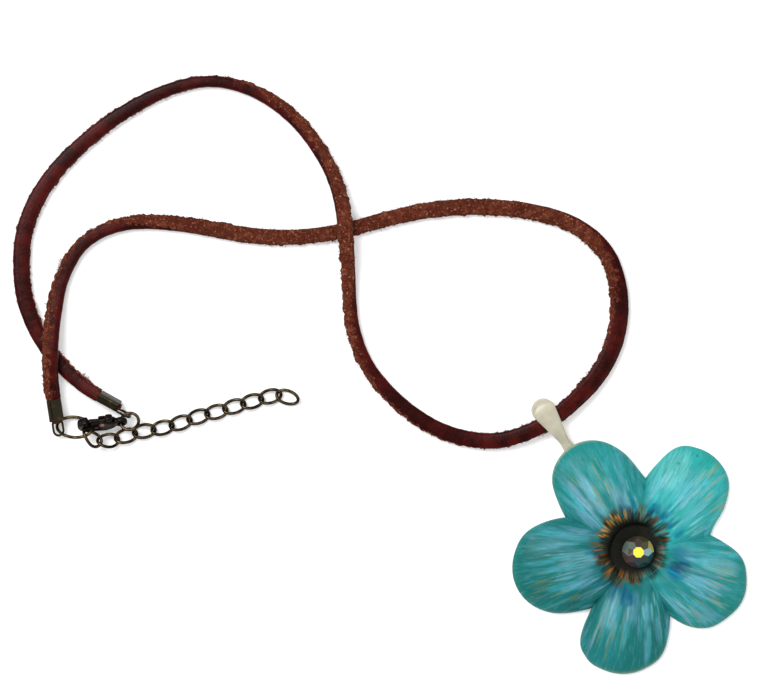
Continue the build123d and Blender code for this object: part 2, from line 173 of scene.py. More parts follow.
walked = walk(route_line)
lace_rows = int(walked[-1] / LACE_STEP)
along_lace = np.linspace(0, walked[-1], lace_rows)
lace_line = np.stack([np.interp(along_lace, walked, column) for column in route_line.T], axis=1)
last_span = len(LACE_ROUTE) - 2
route_place = np.interp(along_lace, walked, np.linspace(0, last_span, len(route_line))) + 0.5
twist_places, twist_turns, twist_widths = np.array(LACE_TWIST).T
lace_turn = softened(np.radians(np.interp(route_place, twist_places, twist_turns)), LACE_EASED_ROWS)
lace_width = softened(np.interp(route_place, twist_places, twist_widths), LACE_EASED_ROWS)
lace_height = np.clip(LACE_W * LACE_T / lace_width, *LACE_HEIGHTS)
lace_forward = unit(np.gradient(lace_line, axis=0))
lace_left = unit(np.cross(UP, lace_forward))
lace_over = np.cross(lace_forward, lace_left)
lace_points = swept(
    lace_line, lace_left, lace_over, lace_width / 2, lace_height / 2, LACE_SIDES, LACE_CORNERS)
lace_angle = 2 * np.pi * np.arange(LACE_SIDES) / LACE_SIDES
facing = np.cos(lace_angle[None, :] - lace_turn[:, None])

# The cut edges wander a little, the rough side is uneven, and the smooth side creases across.
edge = np.abs(np.sin(lace_angle))[None, :] ** 2
outward = unit(lace_points - lace_line[:, None, :])
rough = ease((0.25 - facing) / 0.5)
edge_shift = np.where(np.sin(lace_angle) >= 0, 0.0, OTHER_EDGE)[None, :]
wander = waves(along_lace[:, None] + edge_shift, EDGE_WAVES, seed=3)
pits = rng.normal(0, 1, (lace_rows, LACE_SIDES))
pits = (pits + np.roll(pits, 1, 0) + np.roll(pits, 1, 1) + np.roll(pits, -1, 0)) / 4
crease_place = along_lace[:, None] + 0.35 * np.sin(lace_angle)[None, :]
creases = np.maximum(waves(crease_place, CREASE_WAVES, seed=8), 0) ** 2
swell = EDGE_WANDER * wander * edge * (0.45 + 0.55 * rough)
swell += (PIT_DEPTH + PIT_DEPTH_AT_EDGE * edge) * pits * rough
swell -= GRAIN_CREASE * creases * (1 - rough)
swell[:CALM_ROWS] *= 0.2
swell[-CALM_ROWS:] *= 0.2
lace_points = lace_points + outward * swell[:, :, None]
lace_points[:, :, 2] = np.maximum(lace_points[:, :, 2], LACE_ABOVE_TABLE)


def srgb(red, green, blue):
    """A colour given as 0 to 255, in linear values."""
    scaled = [value / 255 for value in (red, green, blue)]
    return [value / 12.92 if value <= 0.04045 else ((value + 0.055) / 1.055) ** 2.4 for value in scaled]


def new_material(name):
    """A material with its node tree and its shader."""
    material = bpy.data.materials.new(name)
    material.use_nodes = True
    return material, material.node_tree, material.node_tree.nodes["Principled BSDF"]


def put(tree, kind, inputs=None, **settings):
    """A node with its settings and inputs: an input is a number, a colour or another node's socket."""
    made = tree.nodes.new(kind)
    for key, value in settings.items():
        setattr(made, key, value)
    for key, value in (inputs or {}).items():
        if isinstance(value, bpy.types.NodeSocket):
            tree.links.new(value, made.inputs[key])
        else:
            made.inputs[key].default_value = value
    return made


def place_on_piece(tree):
    """The place of each point on the piece, in metres."""
    return put(tree, "ShaderNodeTexCoord").outputs["Object"]


def mix_colours(tree, share, first, second):
    """The colour between two others."""
    made = put(tree, "ShaderNodeMix", {0: share}, data_type="RGBA")
    for socket, value in ((made.inputs[6], first), (made.inputs[7], second)):
        if isinstance(value, bpy.types.NodeSocket):
            tree.links.new(value, socket)
        else:
            socket.default_value = (*value, 1.0)
    return made.outputs[2]


def ramp(tree, value, low, high, to_low=0.0, to_high=1.0):
    """A value carried smoothly from one range to another."""
    inputs = {"Value": value, "From Min": low, "From Max": high, "To Min": to_low, "To Max": to_high}
    return put(tree, "ShaderNodeMapRange", inputs, interpolation_type="SMOOTHSTEP").outputs["Result"]


def noise(tree, place, scale, detail=3.0, roughness=0.55):
    """Soft noise of a given scale at a place."""
    inputs = {"Vector": place, "Scale": scale, "Detail": detail, "Roughness": roughness}
    return put(tree, "ShaderNodeTexNoise", inputs).outputs["Fac"]


def calculated(tree, operation, first, second):
    """What an operation makes of two values."""
    return put(tree, "ShaderNodeMath", {0: first, 1: second}, operation=operation).outputs[0]


def attribute(tree, name, output="Fac"):
    """What a piece says at each point."""
    return put(tree, "ShaderNodeAttribute", attribute_name=name).outputs[output]


def relief(tree, shader, height, depth):
    """Fine relief from a height, at most as deep, in metres."""
    bump = put(tree, "ShaderNodeBump", {"Height": height, "Distance": depth, "Strength": 1.0})
    tree.links.new(bump.outputs["Normal"], shader.inputs["Normal"])


def set_all_over(shader, values):
    """Values that are the same all over a piece, set on the shader itself."""
    for name, value in values.items():
        shader.inputs[name].default_value = value


def add_piece(name, points, faces, material, replaced=()):
    """A mesh that rides on the necklace and stands for the named solids. Points are in millimetres."""
    mesh = bpy.data.meshes.new(name)
    mesh.from_pydata((np.asarray(points).reshape(-1, 3) * MM).tolist(), [], faces)
    mesh.materials.append(material)
    mesh.polygons.foreach_set("use_smooth", [True] * len(mesh.polygons))
    mesh.update()
    piece = in_scene(name, mesh)
    if replaced:
        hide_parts(*replaced)
    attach(piece, BODY)
    return piece


def add_values(piece, name, values):
    """A number at each point of a piece, for its material to read."""
    layer = piece.data.attributes.new(name, "FLOAT", "POINT")
    layer.data.foreach_set("value", np.asarray(values, dtype=np.float32).ravel())


def ring_faces(rings, sides, closed=False):
    """Quads over rows of as many points each. A closed piece joins its last row to its first."""
    faces = []
    for row in range(rings if closed else rings - 1):
        following = (row + 1) % rings
        for k in range(sides):
            j = (k + 1) % sides
            faces.append((row * sides + k, row * sides + j, following * sides + j, following * sides + k))
    return faces


def bar_faces(rings, sides):
    """The faces of a bar: its rows, and a face at each end."""
    first_end = tuple(range(sides - 1, -1, -1))
    last_end = tuple(range((rings - 1) * sides, rings * sides))
    return ring_faces(rings, sides) + [first_end, last_end]


SUEDE_DARK = srgb(56, 19, 12)
SUEDE_PALE = srgb(106, 48, 32)
SUEDE_TUFTS = srgb(136, 75, 53)
SUEDE_RUBBED = srgb(74, 30, 20)
SUEDE_FLECKS = srgb(178, 120, 90)
GRAIN_DARK = srgb(38, 4, 3)
GRAIN_RED = srgb(72, 13, 9)
GRAIN_FLECKS = srgb(104, 42, 30)

leather, tree, shader = new_material("leather")
here = place_on_piece(tree)
blotch = noise(tree, here, scale=900.0, detail=4.0)
fine = noise(tree, here, scale=3600.0, detail=3.0, roughness=0.7)
ragged = calculated(tree, "ADD", ramp(tree, blotch, 0.3, 0.7, -0.34, 0.34), attribute(tree, "smooth_side"))
smooth_share = ramp(tree, ragged, -0.03, 0.13)
nap = mix_colours(tree, ramp(tree, fine, 0.32, 0.68), SUEDE_DARK, SUEDE_PALE)
tuft_noise = noise(tree, here, scale=760.0, detail=4.0, roughness=0.7)
tufted = mix_colours(tree, ramp(tree, tuft_noise, 0.44, 0.68, 0.0, 0.6), nap, SUEDE_TUFTS)
rub_noise = noise(tree, here, scale=160.0)
rubbed = mix_colours(tree, ramp(tree, rub_noise, 0.42, 0.72, 0.0, 0.75), tufted, SUEDE_RUBBED)
fleck_noise = noise(tree, here, scale=2000.0, detail=3.0, roughness=0.6)
suede = mix_colours(tree, ramp(tree, fleck_noise, 0.58, 0.7, 0.0, 0.8), rubbed, SUEDE_FLECKS)
grain_noise = noise(tree, here, scale=260.0, detail=5.0)
grain = mix_colours(tree, ramp(tree, grain_noise, 0.35, 0.68), GRAIN_DARK, GRAIN_RED)
flecked_grain = mix_colours(tree, ramp(tree, fine, 0.58, 0.75), grain, GRAIN_FLECKS)
tree.links.new(mix_colours(tree, smooth_share, suede, flecked_grain), shader.inputs["Base Color"])
tree.links.new(ramp(tree, smooth_share, 0, 1, 0.95, 0.34), shader.inputs["Roughness"])
set_all_over(shader, {"Specular IOR Level": 0.08})
grooves = put(tree, "ShaderNodeCombineXYZ", {"X": attribute(tree, "along"), "Y": attribute(tree, "around")})
groove_height = calculated(tree, "MULTIPLY", noise(tree, grooves.outputs[0], scale=1.1), 0.3)
leather_height = put(tree, "ShaderNodeMix", {0: smooth_share, 2: fine, 3: groove_height}, data_type="FLOAT")
relief(tree, shader, leather_height.outputs[0], 0.00022)

lace = add_piece(
    "leather_lace", lace_points, bar_faces(lace_rows, LACE_SIDES), leather, ["lace"])
add_values(lace, "smooth_side", facing)
add_values(lace, "along", np.repeat(along_lace * GROOVES_ALONG, LACE_SIDES))
add_values(lace, "around", np.tile(lace_angle * GROOVES_AROUND, lace_rows))

# Loose fibres of the lace: the flesh side of the leather is frayed where it was cut, and stands in
# two longer tufts. They are its own fibres, so they ride on it.
FIBRES = 13000
FIBRE_RADII = (0.03, 0.075)
FIBRE_LENGTHS = (0.15, 1.2)
FIBRE_CURL = 0.7
FIBRE_SUNK = 0.05
FIBRE_ABOVE_TABLE = 0.03
ROUGH_FROM = 0.15
UNDERNEATH = -0.35
TUFTS = [
    # route_point, count
    (5.2, 26), (45.4, 22),
]
TUFT_LENGTHS = (0.8, 1.5)
FIBRE_DARK = srgb(66, 28, 18)
FIBRE_PALE = srgb(150, 96, 72)


def fibre_mesh(roots, directions, lengths, radii):
    """Thin tapering fibres that curl over, each of three sides."""
    count = len(roots)
    side = unit(np.cross(directions, rng.normal(0, 1, (count, 3))))
    other = np.cross(directions, side)
    curl = side * rng.uniform(-FIBRE_CURL, FIBRE_CURL, (count, 1))
    points = []
    for share, thickness in ((0.0, 1.0), (0.5, 0.7)):
        middle = roots + (directions * share + curl * share ** 2) * lengths[:, None]
        for k in range(3):
            a = 2 * np.pi * k / 3
            points.append(middle + (side * np.cos(a) + other * np.sin(a)) * (radii * thickness)[:, None])
    points.append(roots + (directions + curl) * lengths[:, None])
    points = np.stack(points, axis=1).reshape(-1, 3)
    faces = []
    for start in range(0, 7 * count, 7):
        for k in range(3):
            j = (k + 1) % 3
            faces.append((start + k, start + j, start + 3 + j, start + 3 + k))
            faces.append((start + 3 + k, start + 3 + j, start + 6))
    points[:, 2] = np.maximum(points[:, 2], FIBRE_ABOVE_TABLE)
    return points, faces


rows = rng.integers(6, lace_rows - 12, FIBRES)
columns = rng.integers(0, LACE_SIDES, FIBRES)
keep = (facing[rows, columns] < ROUGH_FROM) & (np.cos(lace_angle[columns]) > UNDERNEATH)
keep &= rng.uniform(0, 1, FIBRES) < 0.25 + 0.75 * edge[0, columns]
rows, columns = rows[keep], columns[keep]
reach = rng.gamma(2.0, 0.2, len(rows)).clip(*FIBRE_LENGTHS)
for tuft_place, count in TUFTS:
    tuft_row = int(np.searchsorted(route_place, tuft_place))
    rows = np.concatenate([rows, tuft_row + rng.integers(-3, 4, count)])
    columns = np.concatenate([columns, rng.integers(4, 9, count)])
    reach = np.concatenate([reach, rng.uniform(*TUFT_LENGTHS, count)])
fibre_roots = lace_points[rows, columns] - outward[rows, columns] * FIBRE_SUNK
fibre_way = outward[rows, columns] + lace_forward[rows] * rng.normal(0, 0.9, (len(rows), 1))
fibre_way += rng.normal(0, 0.3, (len(rows), 3))
fibre_radii = rng.uniform(*FIBRE_RADII, len(rows))

fibre, tree, shader = new_material("fibre")
fibre_noise = noise(tree, place_on_piece(tree), scale=1500.0)
fibre_colour = mix_colours(tree, fibre_noise, FIBRE_DARK, FIBRE_PALE)
tree.links.new(fibre_colour, shader.inputs["Base Color"])
set_all_over(shader, {"Roughness": 0.95})
fibre_points, fibre_faces = fibre_mesh(fibre_roots, unit(fibre_way), reach, fibre_radii)
fibres = add_piece("lace_fibres", fibre_points, fibre_faces, fibre)

# Squeezed ends of the lace: the same leather, full at the mouth of each fold-over end, pressed thin
# where the metal is folded over it, and standing out a little beyond.
CRIMP_L = 4.9
TIP_L = 0.6
TIP_SIDES = 20
TIP_CORNERS = 0.6
TIP_UNEVEN = 0.02
TIP_SMOOTH_SIDE = -0.1
CRIMP_PLACES = {
    # origin in millimetres, then yaw, pitch and roll in degrees
    "crimp_end_a": (-130.71, 31.75, 2.51, -81.54, -4.65, 2.29),
    "crimp_end_b": (-118.68, 33.82, 1.97, -28.93, 3.77, 72.03),
}
TIP_STATIONS = [
    # from the mouth, half_width, half_height
    (-0.8, 1.2, 0.7), (-0.5, 1.42, 0.86), (-0.2, 1.5, 0.92), (-0.04, 1.48, 0.9), (0.04, 1.22, 0.64),
    (0.5, 0.9, 0.6), (2.5, 0.85, 0.58), (CRIMP_L - 0.4, 0.85, 0.6), (CRIMP_L, 0.95, 0.62),
    (CRIMP_L + 0.3, 0.98, 0.62), (CRIMP_L + TIP_L - 0.1, 0.9, 0.56), (CRIMP_L + TIP_L, 0.6, 0.4),
]


def axes(x, y, z, yaw, pitch, roll):
    """Origin and the three axes of a piece's own place."""
    turn, rise, lean = np.radians([yaw, pitch, roll])
    along = np.array([np.cos(rise) * np.cos(turn), np.cos(rise) * np.sin(turn), np.sin(rise)])
    level = np.array([-np.sin(turn), np.cos(turn), 0.0])
    over = np.cross(along, level) * np.cos(lean) + level * np.sin(lean)
    return np.array([x, y, z]), along, np.cross(over, along), over


def moved(points, place):
    """Points of a piece's own place, in the frame."""
    origin, along, left, over = axes(*place)
    return origin + points[..., 0:1] * along + points[..., 1:2] * left + points[..., 2:3] * over


tip_along, tip_half_widths, tip_half_heights = np.array(TIP_STATIONS).T
tip_rows = len(TIP_STATIONS)
tip_line = np.stack([tip_along - CRIMP_L / 2, 0 * tip_along, 0 * tip_along], axis=1)
tip_left = np.tile([0.0, 1.0, 0.0], (tip_rows, 1))
tip_over = np.tile(UP, (tip_rows, 1))
for crimp_name, crimp_place in CRIMP_PLACES.items():
    points = swept(tip_line, tip_left, tip_over, tip_half_widths, tip_half_heights, TIP_SIDES, TIP_CORNERS)
    points += rng.normal(0, TIP_UNEVEN, points.shape)
    tip_name = crimp_name.replace("crimp_end", "lace_tip")
    tip = add_piece(
        tip_name, moved(points, crimp_place), bar_faces(tip_rows, TIP_SIDES), leather)
    add_values(tip, "smooth_side", np.full(tip_rows * TIP_SIDES, TIP_SMOOTH_SIDE))

# Jump rings and extender chain: round brass wire bent into loops, and twisted in the links, then
# darkened and rubbed, with a painted highlight of brass on top. Each loop passes through the next.
WIRE_R = 0.36
WIRE_SIDES = 12
LOOP_STATIONS = 60
JUMP_RINGS = [
    # name, place, half_length, half_width
    ("jump_ring_a", (-126.39, 27.95, 2.39, -9.67, 19.82, 29.71), 4.25, 2.6),
    ("jump_ring_b", (-114.01, 29.27, 2.99, 21.86, -6.62, 24.88), 2.05, 2.05),
]
LINK_PITCH = 4.2
LINK_HALF = (2.5, 1.45)
LINK_TWIST = 0.5
CHAIN_LOW = 0.88
LEANING_LINKS = [
    (-122.37, 25.45, 3.61, -37.67, -27.51, 31.38),
    (-118.86, 24.9, 1.86, 5.19, -23.17, 12.61),
    (-114.94, 25.96, 0.99, 15.92, -1.35, 5.34),
]
CHAIN_ROUTE = [
    (-110.85, 27.05), (-106.9, 27.75), (-102.8, 28.85), (-98.6, 30.3), (-94.5, 31.4), (-90.2, 32.7),
    (-86.0, 33.9), (-81.6, 35.1),
]
END_LINK = (-78.65, 34.68, 0.9, -17.5, 3.0, -3.4)
# Wear of the wire: some all over, and a painted highlight of brass on its upper side
WIRE_WEAR_BELOW = 0.02
WIRE_TOP_HIGHLIGHT = 0.4
WIRE_DARK = srgb(40, 34, 25)
WIRE_BRASS = srgb(118, 96, 64)

# Antique patina: dark in the hollows, brassy where it is rubbed, and on the wire a painted highlight on top
patina = bpy.data.node_groups.new("patina", "ShaderNodeTree")
for name, kind in (("Dark", "NodeSocketColor"), ("Rubbed", "NodeSocketColor"), ("Wear_and_highlight", "NodeSocketFloat")):
    patina.interface.new_socket(name, in_out="INPUT", socket_type=kind)
patina.interface.new_socket("Colour", in_out="OUTPUT", socket_type="NodeSocketColor")
patina.interface.new_socket("Height", in_out="OUTPUT", socket_type="NodeSocketFloat")
group_in = patina.nodes.new("NodeGroupInput")
group_out = patina.nodes.new("NodeGroupOutput")
here = place_on_piece(patina)
worn_and_highlit = calculated(patina, "ADD", noise(patina, here, scale=700.0, detail=4.0), group_in.outputs["Wear_and_highlight"])
metal_colour = mix_colours(
    patina, ramp(patina, worn_and_highlit, 0.72, 1.12), group_in.outputs["Dark"], group_in.outputs["Rubbed"])
patina.links.new(metal_colour, group_out.inputs["Colour"])
patina.links.new(noise(patina, here, scale=2600.0), group_out.inputs["Height"])


def antique_metal(name, dark, rubbed, wear_and_highlight, roughness):
    """A metal with a patina. Wear and highlight is a number or the name of a piece's values; above 0.3 more
    is brass.
    """
    material, tree, shader = new_material(name)
    group = tree.nodes.new("ShaderNodeGroup")
    group.node_tree = patina
    group.inputs["Dark"].default_value = (*dark, 1.0)
    group.inputs["Rubbed"].default_value = (*rubbed, 1.0)
    if isinstance(wear_and_highlight, str):
        tree.links.new(attribute(tree, wear_and_highlight), group.inputs["Wear_and_highlight"])
    else:
        group.inputs["Wear_and_highlight"].default_value = wear_and_highlight
    tree.links.new(group.outputs["Colour"], shader.inputs["Base Color"])
    set_all_over(shader, {"Metallic": 1.0, "Roughness": roughness})
    relief(tree, shader, group.outputs["Height"], 0.00004)
    return material


wire_brass = antique_metal("antique_wire", WIRE_DARK, WIRE_BRASS, wear_and_highlight="wear_and_highlight", roughness=0.4)


def add_wire_loop(name, place, half_length, half_width, twist=0.0):
    """A closed loop of round wire, rubbed to brass here and there, with a painted highlight on its upper
    side.
    """
    t = 2 * np.pi * np.arange(LOOP_STATIONS) / LOOP_STATIONS
    line = np.stack([half_length * np.cos(t), half_width * np.sin(t), twist * np.sin(2 * t)], axis=1)
    forward = np.stack(
        [-half_length * np.sin(t), half_width * np.cos(t), 2 * twist * np.cos(2 * t)], axis=1)
    side = unit(np.cross(forward, UP))
    over = unit(np.cross(side, forward))
    radii = np.full(LOOP_STATIONS, WIRE_R)
    points = moved(swept(line, side, over, radii, radii, WIRE_SIDES, 1.0), place)
    faces = ring_faces(LOOP_STATIONS, WIRE_SIDES, closed=True)
    loop = add_piece(name + "_wire", points, faces, wire_brass, [name])
    middle = moved(line, place)[:, None, :]
    # Painted highlight: the upper side of the wire is made brassier
    upward = (points - middle)[:, :, 2] / WIRE_R
    add_values(loop, "wear_and_highlight", WIRE_WEAR_BELOW + WIRE_TOP_HIGHLIGHT * ease((upward - 0.5) / 0.5))


for ring_name, place, half_length, half_width in JUMP_RINGS:
    add_wire_loop(ring_name, place, half_length, half_width)
chain_places = list(LEANING_LINKS)
chain_corners = np.array(CHAIN_ROUTE)
chain_walk = walk(chain_corners)
for number in range(int(chain_walk[-1] / LINK_PITCH + 0.5) + 1):
    gone = min(number * LINK_PITCH, chain_walk[-1])
    span = np.clip(np.searchsorted(chain_walk, gone), 1, len(chain_walk) - 1)
    step_x, step_y = chain_corners[span] - chain_corners[span - 1]
    link_x, link_y = [np.interp(gone, chain_walk, corners) for corners in chain_corners.T]
    yaw = math.degrees(math.atan2(step_y, step_x))
    chain_places.append((link_x, link_y, CHAIN_LOW, yaw, 0.0, 0.0))
chain_places.append(END_LINK)
for number, place in enumerate(chain_places, start=1):
    add_wire_loop(f"chain_link_{number:02d}", place, *LINK_HALF, LINK_TWIST)

# Fold-over ends: stamped olive-brown sheet, folded over the ends of the lace, each with an eye for
# its ring. Their solids stay, with the edges eased as the stamping leaves them.
CRIMP_EDGE = 0.1
CRIMP_DARK = srgb(54, 49, 37)
CRIMP_BRASS = srgb(112, 98, 68)


def finish_solid(name, material, edge_width):
    """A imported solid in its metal, with its edges eased by a width in millimetres."""
    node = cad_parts[name]
    node.data.materials.clear()
    node.data.materials.append(material)
    eased = node.modifiers.new("eased_edges", "BEVEL")
    eased.width = edge_width * MM
    eased.segments = 3
    eased.limit_method = "ANGLE"
    eased.angle_limit = math.radians(35)
    return node


crimp_metal = antique_metal("olive_brass", CRIMP_DARK, CRIMP_BRASS, wear_and_highlight=0.2, roughness=0.38)
for crimp_name in CRIMP_PLACES:
    finish_solid(crimp_name, crimp_metal, CRIMP_EDGE)

# Lobster clasp: a body cast in dark metal with its lever inside, turning on a copper rivet. The
# solids stay. The casting is rounded all over by remeshing it finely, filling it out by as much as
# the smoothing takes, and smoothing it.
CAST_VOXEL = 0.065
CAST_FILLING = 0.16
CAST_PIECES = [
    # name, edge_width, smoothing_steps
    ("clasp_body", 0.4, 170), ("clasp_lever", 0.3, 110),
]
RIVET_EDGE = 0.07
CLASP_DARK = srgb(34, 30, 28)
CLASP_WORN = srgb(92, 74, 56)
RIVET_DARK = srgb(104, 66, 50)
RIVET_COPPER = srgb(178, 126, 102)

clasp_metal = antique_metal("dark_clasp", CLASP_DARK, CLASP_WORN, wear_and_highlight=0.2, roughness=0.38)
rivet_metal = antique_metal("copper_rivet", RIVET_DARK, RIVET_COPPER, wear_and_highlight=0.42, roughness=0.35)
for cast_name, edge_width, smoothing_steps in CAST_PIECES:
    node = finish_solid(cast_name, clasp_metal, edge_width)
    cast = node.modifiers.new("cast_surface", "REMESH")
    cast.mode = "VOXEL"
    cast.voxel_size = CAST_VOXEL * MM
    cast.use_smooth_shade = True
    filled = node.modifiers.new("filled", "DISPLACE")
    filled.strength = CAST_FILLING * MM
    filled.mid_level = 0.0
    polished = node.modifiers.new("rubbed", "SMOOTH")
    polished.factor = 0.6
    polished.iterations = smoothing_steps
finish_solid("clasp_rivet", rivet_metal, RIVET_EDGE)

# Bail: a tapering strap of the flower's cream body, moulded into a loop with a convex front and
# glued by its pad under a petal. The lace runs through the loop. Its side view is a line of stations
# from the pad, over the neck and round the loop to the pad again.
BAIL_PLACE = (-21.2, 31.8, 0.0, -55.5, 0.0, 0.0)
BAIL_LINE = [
    # along, height, half_width, half_thickness
    (15.0, 0.62, 2.1, 0.50), (13.0, 0.62, 2.2, 0.50), (11.6, 0.75, 1.9, 0.52), (10.4, 1.15, 1.25, 0.58),
    (9.2, 1.62, 1.06, 0.6), (8.0, 2.15, 1.18, 0.6), (6.6, 2.72, 1.45, 0.58), (5.0, 3.25, 1.75, 0.55),
    (3.4, 3.66, 2.08, 0.52), (1.8, 3.92, 2.42, 0.51), (0.4, 3.98, 2.7, 0.5), (-0.8, 3.86, 2.72, 0.5),
    (-1.7, 3.38, 2.5, 0.5), (-2.2, 2.6, 2.25, 0.5), (-2.2, 1.8, 2.25, 0.5), (-1.7, 1.05, 2.5, 0.5),
    (-0.7, 0.64, 2.65, 0.5), (1.0, 0.57, 2.6, 0.48), (3.4, 0.57, 2.1, 0.48), (6.0, 0.57, 1.5, 0.48),
    (8.6, 0.6, 1.1, 0.5), (10.6, 0.62, 1.4, 0.5),
]
BAIL_ROWS = 110
BAIL_SIDES = 28
BAIL_CORNERS = 0.85
BAIL_EASED_ROWS = 7
BAIL_END_R = 2.95
BAIL_ABOVE_TABLE = 0.06
CREAM_DARK = srgb(178, 172, 150)
CREAM_PALE = srgb(200, 194, 172)
CREAM_SPECKS = srgb(150, 140, 118)

bail_table = np.array(BAIL_LINE)
bail_walk = walk(bail_table[:, :2])
bail_even = np.linspace(0, bail_walk[-1], BAIL_ROWS)
bail_values = [softened(np.interp(bail_even, bail_walk, column), BAIL_EASED_ROWS) for column in bail_table.T]
bail_along, bail_height, bail_half_width, bail_half_thickness = bail_values
bail_mid = np.stack([bail_along, 0 * bail_even, bail_height], axis=1)
bail_forward = unit(np.gradient(bail_mid, axis=0))
bail_left = np.tile([0.0, 1.0, 0.0], (BAIL_ROWS, 1))
bail_over = np.cross(bail_left, bail_forward)
bail_points = swept(
    bail_mid, bail_left, bail_over, bail_half_width, bail_half_thickness, BAIL_SIDES, BAIL_CORNERS)
round_end = np.sqrt(np.clip(1 - (bail_points[:, :, 1] / BAIL_END_R) ** 2, 0.1, 1))
bail_points[:, :, 0] *= np.where(bail_points[:, :, 0] < 0, round_end, 1.0)
bail_points[:, :, 2] = np.maximum(bail_points[:, :, 2], BAIL_ABOVE_TABLE)

cream_body, tree, shader = new_material("cream_body")
here = place_on_piece(tree)
cream_noise = noise(tree, here, scale=220.0, detail=4.0)
cream = mix_colours(tree, ramp(tree, cream_noise, 0.35, 0.7), CREAM_DARK, CREAM_PALE)
speck_field = put(tree, "ShaderNodeTexVoronoi", {"Vector": here, "Scale": 330.0}).outputs["Distance"]
specked = mix_colours(tree, ramp(tree, speck_field, 0.06, 0.1), CREAM_SPECKS, cream)
tree.links.new(specked, shader.inputs["Base Color"])
set_all_over(shader, {"Roughness": 0.36, "Coat Weight": 0.25, "Coat Roughness": 0.25})
relief(tree, shader, noise(tree, here, scale=1300.0, detail=4.0), 0.00008)
add_piece(
    "tapered_bail", moved(bail_points, BAIL_PLACE), bar_faces(BAIL_ROWS, BAIL_SIDES), cream_body,
    ["bail"])

# Crystal: a round stone of cut glass with a foiled back, glued in the middle of the flower. The cut
# solid stays. Each facet has a painted reflection by the way it faces, the steep ones painted shade,
# the table a yellow painted highlight, and all of them a faint painted glow.
# Painted reflections: each facet gets a colour by the way it faces
FACET_REFLECTIONS = [
    # share of a turn from -X, colour
    (0.0, srgb(92, 62, 58)), (0.12, srgb(58, 32, 40)), (0.25, srgb(10, 44, 52)), (0.4, srgb(16, 66, 80)),
    (0.46, srgb(150, 190, 194)), (0.55, srgb(214, 204, 110)), (0.575, srgb(70, 66, 30)),
    (0.69, srgb(58, 40, 30)), (0.82, srgb(92, 112, 100)),
]
# Painted shade on the steep facets round the girdle
GIRDLE_SHADE = srgb(20, 20, 16)
# A yellow painted highlight on the table, which also glows yellow
TABLE_HIGHLIGHT = srgb(255, 236, 70)
# A faint painted glow on every facet
FACET_PAINTED_GLOW = srgb(30, 34, 34)
TABLE_HIGHLIGHT_GLOW = srgb(255, 226, 60)

crystal_painted_reflections, tree, shader = new_material("crystal_painted_reflections")
facet_normal = put(tree, "ShaderNodeNewGeometry").outputs["True Normal"]
facet_way = put(tree, "ShaderNodeSeparateXYZ", {0: facet_normal})
facet_turn = calculated(tree, "ARCTAN2", facet_way.outputs[1], facet_way.outputs[0])
full_turn = {"Value": facet_turn, "From Min": -math.pi, "From Max": math.pi}
turn_share = put(tree, "ShaderNodeMapRange", full_turn)
facet_reflections = put(tree, "ShaderNodeValToRGB", {"Fac": turn_share.outputs[0]})
facet_reflections.color_ramp.interpolation = "CONSTANT"
while len(facet_reflections.color_ramp.elements) < len(FACET_REFLECTIONS):
    facet_reflections.color_ramp.elements.new(0.5)
for element, (share, colour) in zip(facet_reflections.color_ramp.elements, FACET_REFLECTIONS):
    element.position = share
    element.color = (*colour, 1.0)
crown_share = ramp(tree, facet_way.outputs[2], 0.2, 0.75)
table_share = ramp(tree, facet_way.outputs[2], 0.96, 0.99)
crown_reflections = mix_colours(tree, crown_share, GIRDLE_SHADE, facet_reflections.outputs[0])
tree.links.new(mix_colours(tree, table_share, crown_reflections, TABLE_HIGHLIGHT), shader.inputs["Base Color"])
# Painted glow: the stone gives off light of its own, yellow on the table
tree.links.new(mix_colours(tree, table_share, FACET_PAINTED_GLOW, TABLE_HIGHLIGHT_GLOW), shader.inputs["Emission Color"])
set_all_over(shader, {
    "Emission Strength": 0.35, "Metallic": 0.35, "Roughness": 0.12, "IOR": 1.6, "Coat Weight": 1.0,
    "Coat Roughness": 0.02,
})
crystal_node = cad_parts["crystal"]
crystal_node.data.materials.clear()
crystal_node.data.materials.append(crystal_painted_reflections)

# Flower: one moulding of a cream body, with five arched petals round a flat middle, folds between
# them and fine veins, painted by hand in turquoise under a satin varnish. The radii are in
# millimetres from the middle, from the notch where a petal begins, at the given shares of its spread.
FOOT_R = 6.0
HOLE_R = 0.4
ARCH_H = 3.3
CREASE_DEPTH = 2.0
WALL_CENTRE = 1.9
WALL_RIM = 1.45
RIM_ROUNDING = 0.75
BACK_INSET = 0.12
BAIL_STRAP = 1.05
RIM_SHARES = (0.0, 0.08, 0.2, 0.35, 0.5, 0.65, 0.8, 0.92)
PETALS = [
    # notch_angle, lift, radii at RIM_SHARES
    (12.7, 0.0, (16.8, 18.2, 22.0, 25.9, 27.3, 27.0, 24.9, 19.8)),
    (83.7, 1.3, (16.5, 18.5, 22.4, 26.2, 27.9, 27.5, 24.9, 20.6)),
    (154.6, 0.0, (17.9, 21.0, 25.2, 27.7, 28.5, 27.2, 23.6, 19.2)),
    (231.1, 0.0, (16.4, 23.0, 26.5, 27.7, 27.7, 26.4, 23.8, 19.4)),
    (296.9, 0.0, (16.3, 19.7, 23.2, 25.1, 26.1, 25.3, 23.2, 19.3)),
]
PETAL_STEPS = 144
TOP_RINGS = 82
DISH_RINGS = 12
BACK_SHARES = (1.0, 0.97, 0.9, 0.8, 0.68, 0.54, 0.4, 0.27, 0.16, 0.07, 0.0)
VEINS = 34
VEIN_W = 0.42
VEIN_HEIGHTS = (-0.42, 0.3)
VEIN_ENDS = (11, 19)
ROLLING = 0.14

